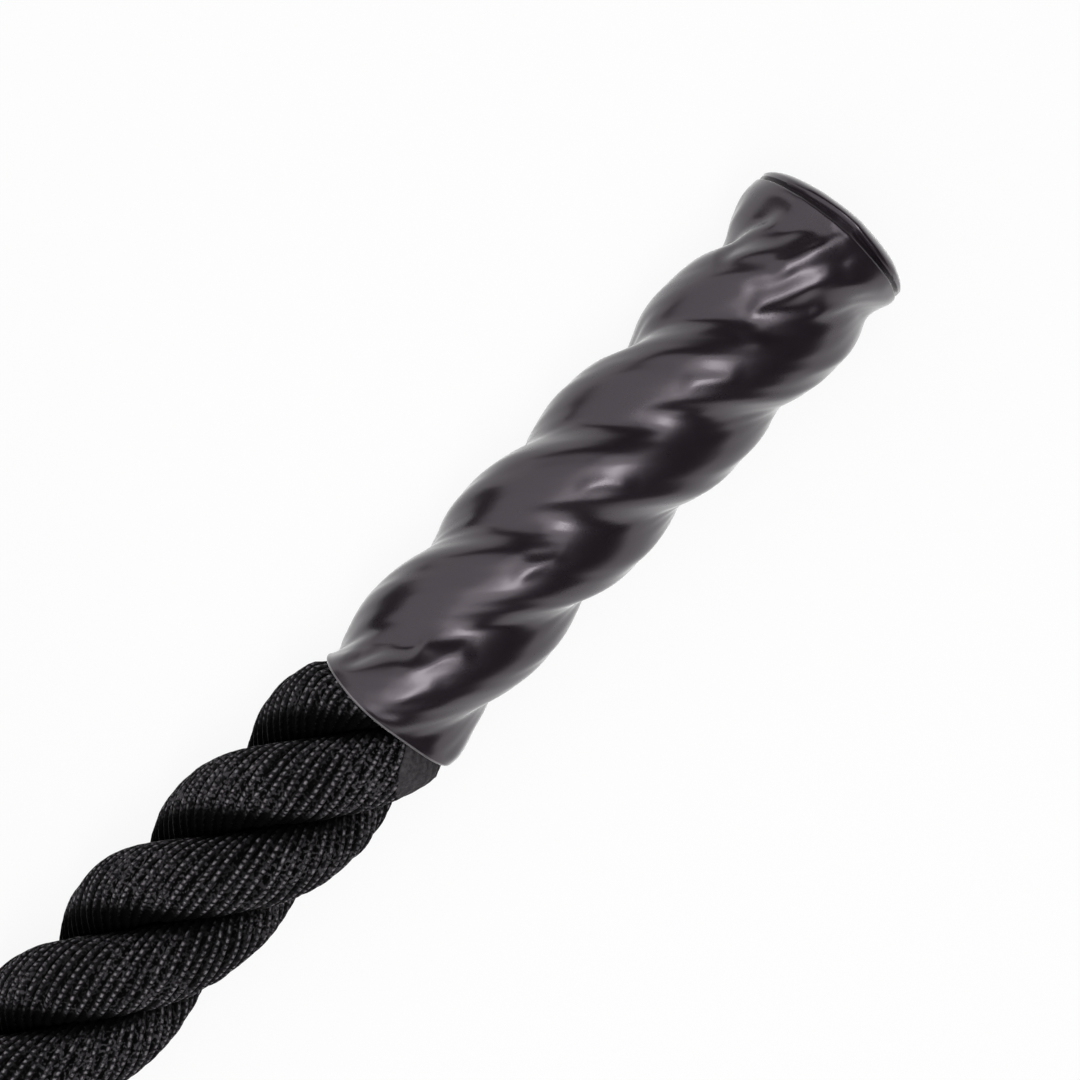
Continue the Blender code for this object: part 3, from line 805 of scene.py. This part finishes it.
def sleeveSkin(angles, along, seed, folded):
    s = sleeveSizes
    sector = math.pi / ropeSizes["strands"]
    tableAngles, table = grooveTable()
    lay = ropeSizes["phase"] + math.tau * along / ropeSizes["pitch"]
    fromCrest = (angles[None, :] - lay[:, None] + sector) % (2 * sector) - sector
    crest = np.interp(along, *s["crest"])
    radius = np.interp(fromCrest, tableAngles, table) * crest[:, None]
    wrinkles = wrinkleField(along, seed)
    fieldAngles = math.tau * np.arange(wrinkles.shape[1]) / wrinkles.shape[1]
    turned = np.stack([np.interp(angles - s["wrinkleLay"] * lay[row], fieldAngles, wrinkles[row],
                                 period=math.tau) for row in range(len(along))])
    rimStart, rimSoon, rimHigher = s["rimWrinkles"]
    mouthReach, mouthHigher = s["mouthWrinkles"]
    nearRim = smoothStep((along - s["length"] + rimStart) / rimSoon)
    nearMouth = smoothStep(1.0 - along / mouthReach)
    strength = (1.0 + rimHigher * nearRim + mouthHigher * nearMouth) * smoothStep(along / s["plainEdge"])
    radius = radius + s["wrinkleHeight"] * turned * strength[:, None]
    rounding = smoothStep((along - s["length"] + s["rounding"]) / s["rounding"])[:, None]
    radius = radius + (s["rimRadius"] - radius) * rounding
    if folded:
        radius = radius + foldHeight(angles, along) * (1.0 - s["rimFlattens"] * rounding)
    for place, turn, depth, length, width in s["dents"]:
        off = (angles - math.radians(turn) + math.pi) % math.tau - math.pi
        radius = radius - depth * np.exp(-0.5 * (off / math.radians(width)) ** 2)[None, :] * np.exp(
            -0.5 * ((along - place) / length) ** 2)[:, None]
    return radius + s["flare"][0] * np.exp(-(along / s["flare"][1]) ** 1.5)[:, None]


def sleeveX(angles, along):
    s = sleeveSizes
    atSide, onTop = s["mouthSkew"]
    mouth = -(atSide * np.cos(angles) + onTop * np.maximum(np.sin(angles), 0.0) ** 1.5)[None, :]
    ahead, higher, aside = s["rimLean"]
    leanStart, leanSoon = s["leanFrom"]
    lean = (ahead + higher * np.sin(angles) - aside * np.cos(angles))[None, :]
    return (along[:, None] + mouth * smoothStep(1.0 - along / s["skewLength"])[:, None]
            + lean * smoothStep((along - leanStart) / leanSoon)[:, None])


def makeSleeve(name, mouth, turn, seed, shown, material):
    s = sleeveSizes
    angles = math.tau * np.arange(s["columns"]) / s["columns"]
    along = np.linspace(0.0, s["length"], round(s["length"] / s["step"]) + 1)
    radius = sleeveSkin(angles, along, seed, shown)
    x = sleeveX(angles, along)
    rim, rimX = radius[-1], x[-1]
    xs, radii, marks = [], [], []
    # the inside goes back from the end to the mouth, a wall's thickness away
    for row in range(len(along) - 2, 0, -s["insideStep"]):
        xs.append(x[row])
        radii.append(radius[row] - s["wall"])
        marks.append(-along[row])
    # the cut edge, rounded towards the outside
    for inward in (s["wall"], s["lip"]):
        xs.append(x[0])
        radii.append(radius[0] - inward)
        marks.append(-inward)
    for quarter in (0.33, 0.67):
        angle = quarter * math.pi / 2
        xs.append(x[0] + s["lip"] * (1 - math.cos(angle)))
        radii.append(radius[0] - s["lip"] * (1 - math.sin(angle)))
        marks.append(-s["lip"] * (1 - quarter))
    xs += [x[0] + s["lip"], *x[1:]]
    radii += list(radius)
    marks += list(along)
    # over the rim, down into the crease and up over the closed end
    middle, reach, wider = s["creaseWidest"]
    widened = 1.0 + wider * np.exp(-0.5 * ((angles - middle) / reach) ** 2)
    for ahead, outward in s["crease"]:
        xs.append(rimX + ahead * widened)
        radii.append(rim + outward)
    start = s["domeStart"] * widened
    allRound, atSide = s["domeSquare"]
    squareness = allRound + atSide * np.cos(angles)
    for share in s["domeRings"]:
        xs.append(rimX + start + (s["domeHeight"] - start) * np.sqrt(1.0 - share ** squareness))
        radii.append(rim * s["domeShare"] * share)
    xs, radii = np.array(xs), np.array(radii)
    marks = np.array(marks + [s["length"]] * (len(xs) - len(marks)))
    sway = swayAt(np.minimum(xs, s["length"])) if shown else 0.0
    rings = np.stack([xs, radii * np.cos(angles)[None, :] + sway, radii * np.sin(angles)[None, :]], axis=-1)
    rings[..., 2] = np.maximum(rings[..., 2], -ropeSizes["radius"])
    skin = newSkin()
    around = np.arange(s["columns"] + 1) / s["columns"]
    addTube(skin, rings, {"skin": (around[None, :], marks[:, None])}, (0.0, 0.0, 1.0, 1.0, 1), reverse=True)
    sleeve = skinObject(name, skin, material, math.radians(60.0))
    sleeve.matrix_world = Matrix.Translation(mouth) @ Matrix.Rotation(turn, 4, "Z")
    return sleeve


sleeveLook = {
    "color": (0.0082, 0.0056, 0.0081, 1.0),
    "edge": (0.1300, 0.1220, 0.1280, 1.0),  # the cut edge, lighter grey
    "edgeWidth": (0.0005, 0.0001),          # from the mouth: where the grey starts and where it is full
    "roughness": 0.29,
    "gloss": 0.60,
    "tint": (1.0, 0.85, 0.99, 1.0),
    "film": 0.55,                           # a second, smoother gloss on top
    "filmRoughness": 0.24,
    "haze": 1.00,                           # fine dust that lightens the surface where it turns away
    "hazeRoughness": 0.22,
    "grain": (0.0006, 0.25),                # its size, and how uneven the surface is
    "bump": (0.15, 0.0001),                 # its strength and height
}


def makeSleeveMaterial():
    look = sleeveLook
    material, tree, shader = newMaterial("blackShrinkSleeve", look["roughness"])
    shader.inputs["Specular IOR Level"].default_value = look["gloss"]
    shader.inputs["Specular Tint"].default_value = look["tint"]
    shader.inputs["Coat Weight"].default_value = look["film"]
    shader.inputs["Coat Roughness"].default_value = look["filmRoughness"]
    shader.inputs["Sheen Weight"].default_value = look["haze"]
    shader.inputs["Sheen Roughness"].default_value = look["hazeRoughness"]
    size, uneven = look["grain"]
    grain = useGroup(tree, fineGrain, Color=look["color"], Roughness=look["roughness"], Size=size,
                     Uneven=uneven)
    fromMouth = calc(tree, "ABSOLUTE", mapParts(tree, "skin")[1])
    nearEdge = remap(tree, fromMouth, *look["edgeWidth"], 0.0, 1.0)
    tree.links.new(blendColors(tree, nearEdge, grain["Color"], look["edge"]), shader.inputs["Base Color"])
    tree.links.new(grain["Roughness"], shader.inputs["Roughness"])
    addBump(tree, shader, grain["Height"], *look["bump"])
    return material


sleeveMaterial = makeSleeveMaterial()
sleeveA = makeSleeve("sleeveA", routeSizes["mouthA"], 0.0, 4, True, sleeveMaterial)
sleeveB = makeSleeve("sleeveB", routeSizes["mouthB"], -math.pi / 2, 9, False, sleeveMaterial)
print("sleeves done,", len(sleeveA.data.polygons), "faces each")


# Inside the sleeves: the strands' ends, plainer, where nothing shows them

coreSizes = {
    "gap": 0.0003,                          # behind the rope's own skin
    "end": 0.1292,
    "rings": 40,
    "columns": 24,
    "share": 0.88,                          # of the rope's own size
}


def makeCore(name, mouth, turn, material):
    r, c = ropeSizes, coreSizes
    along = np.linspace(r["insideMouth"] + c["gap"], c["end"], c["rings"])
    outline = strandOutline()
    share = np.arange(c["columns"] + 1) / c["columns"]
    section = onOutline(outline, share[None, :-1] + 0 * along[:, None], "point") * c["share"]
    ribU = r["ribs"] * (share[None, :] + along[:, None] / r["ribTurn"])
    maps = {"yarn": (ribU, along[:, None]), "shade": (paintedGrooveShade(share)[None, :], 0.0)}
    skin = newSkin()
    for number in range(r["strands"]):
        lay = r["phase"] + math.tau * along / r["pitch"] + math.tau * number / r["strands"]
        turned = section * np.exp(1j * lay)[:, None]
        rings = np.stack([np.broadcast_to(along[:, None], turned.shape), turned.real, turned.imag], axis=-1)
        addTube(skin, rings, maps, (0.0, number / 3, 1.0, 0.32, 1), reverse=True)
    core = skinObject(name, skin, material, math.radians(60.0))
    core.matrix_world = Matrix.Translation(mouth) @ Matrix.Rotation(turn, 4, "Z")
    return core


coreA = makeCore("strandEndsA", routeSizes["mouthA"], 0.0, ropeMaterial)
coreB = makeCore("strandEndsB", routeSizes["mouthB"], -math.pi / 2, ropeMaterial)


# Tape and melted ends, which the sleeves hide

tapeLook = {"Color": (0.030, 0.030, 0.031, 1.0), "Roughness": 0.5, "Size": 0.0008, "Uneven": 0.3}
meltedLook = {"Color": (0.012, 0.012, 0.013, 1.0), "Roughness": 0.45, "Size": 0.0015, "Uneven": 0.5}
hiddenBump = (0.4, 0.0002)                  # its strength and height


def plainMaterial(name, look):
    material, tree, shader = newMaterial(name, look["Roughness"])
    grain = useGroup(tree, fineGrain, **look)
    tree.links.new(grain["Color"], shader.inputs["Base Color"])
    tree.links.new(grain["Roughness"], shader.inputs["Roughness"])
    addBump(tree, shader, grain["Height"], *hiddenBump)
    return material


tapeMaterial = plainMaterial("vinylTape", tapeLook)
meltedMaterial = plainMaterial("meltedYarn", meltedLook)
for letter in "ab":
    for node, material in (("end_tape_" + letter, tapeMaterial), ("fused_end_" + letter, meltedMaterial)):
        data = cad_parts[node].data
        data.materials.clear()
        data.materials.append(material)


# Floor, world and lamps

stageLook = {
    "floor": (0.80, 0.80, 0.80, 1.0),
    "floorReach": 6.0,
    "floorGlow": 0.90,                      # share of the floor that shows as the white background
    "ambient": 0.10,
    "overhead": 0.03,                       # what a gloss sees of the room above the white surround
    "surroundTop": 0.24,                    # the white surround ends at this height of the view
    # name: where it is (turn from +X and height in degrees), roll, distance, size, brightness
    "lamps": {
        "windowAbove": (-120.0, 81.0, -26.0, 1.05, (0.68, 1.90), 1.92),
        "boxAbove": (-103.4, 77.0, -38.0, 0.90, (0.20, 0.60), 6.4),
        "wallLeft": (130.3, 42.0, 0.0, 1.20, (2.40, 1.60), 0.99),
        "wallRight": (-45.7, 8.0, 0.0, 1.30, (1.80, 0.36), 0.35),
    },
}


def seenWhite(tree):
    # 1 for what the camera sees, directly, in a gloss or through glass
    path = addNode(tree, "ShaderNodeLightPath").outputs
    both = calc(tree, "MAXIMUM", path["Is Camera Ray"], path["Is Glossy Ray"])
    return calc(tree, "MAXIMUM", both, path["Is Transmission Ray"])


def makeFloor():
    look = stageLook
    mesh = bpy.data.meshes.new("floor")
    low, high = -look["floorReach"], look["floorReach"]
    mesh.from_pydata([(low, low, 0), (high, low, 0), (high, high, 0), (low, high, 0)], [], [(0, 1, 2, 3)])
    floor = addObject("floor", mesh)
    material, tree, shader = newMaterial("paleFloor", 0.9)
    shader.inputs["Base Color"].default_value = look["floor"]
    shader.inputs["Specular IOR Level"].default_value = 0.0
    glow = addNode(tree, "ShaderNodeEmission")
    mix = addNode(tree, "ShaderNodeMixShader")
    feed(tree, mix.inputs[0], calc(tree, "MULTIPLY", seenWhite(tree), look["floorGlow"]))
    tree.links.new(shader.outputs[0], mix.inputs[1])
    tree.links.new(glow.outputs[0], mix.inputs[2])
    tree.links.new(mix.outputs[0], tree.nodes["Material Output"].inputs["Surface"])
    mesh.materials.append(material)


def makeWorld():
    look = stageLook
    world = bpy.data.worlds.new("studio")
    scene.world = world
    world.use_nodes = True
    tree = world.node_tree
    background = tree.nodes["Background"]
    background.inputs["Color"].default_value = (1.0, 1.0, 1.0, 1.0)
    parts = addNode(tree, "ShaderNodeSeparateXYZ")
    tree.links.new(addNode(tree, "ShaderNodeTexCoord").outputs["Generated"], parts.inputs[0])
    surround = remap(tree, parts.outputs[2], look["surroundTop"], 0.0, look["overhead"], 1.0)
    shown = seenWhite(tree)
    lit = calc(tree, "MULTIPLY", calc(tree, "SUBTRACT", 1.0, shown), look["ambient"])
    strength = calc(tree, "ADD", calc(tree, "MULTIPLY", shown, surround), lit)
    feed(tree, background.inputs["Strength"], strength)


def makeLamps():
    for name, (turn, height, roll, distance, size, brightness) in stageLook["lamps"].items():
        data = bpy.data.lights.new(name, "AREA")
        data.shape = "RECTANGLE"
        data.size, data.size_y = size
        data.energy = brightness * math.pi * size[0] * size[1]
        lamp = addObject(name, data)
        turn, height = math.radians(turn), math.radians(height)
        out = math.cos(height)
        way = Vector((math.cos(turn) * out, math.sin(turn) * out, math.sin(height)))
        level = Vector((-math.sin(turn), math.cos(turn), 0.0))
        placed = Matrix((level, way.cross(level), way)).transposed().to_4x4()
        placed = placed @ Matrix.Rotation(math.radians(roll), 4, "Z")
        placed.translation = aim + way * distance
        lamp.matrix_world = placed


makeFloor()
makeWorld()
makeLamps()
scene.view_settings.view_transform = "Standard"
print("stage done")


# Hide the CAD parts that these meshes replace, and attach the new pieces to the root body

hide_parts("rope_coil", "rope_run_a", "rope_run_b")
for letter, core, sleeve in (("a", coreA, sleeveA), ("b", coreB, sleeveB)):
    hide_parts(*("strand_" + letter + str(number + 1) for number in range(ropeSizes["strands"])))
    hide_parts("handle_sleeve_" + letter)
for piece in (rope, coreA, coreB, sleeveA, sleeveB):
    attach(piece, "root")
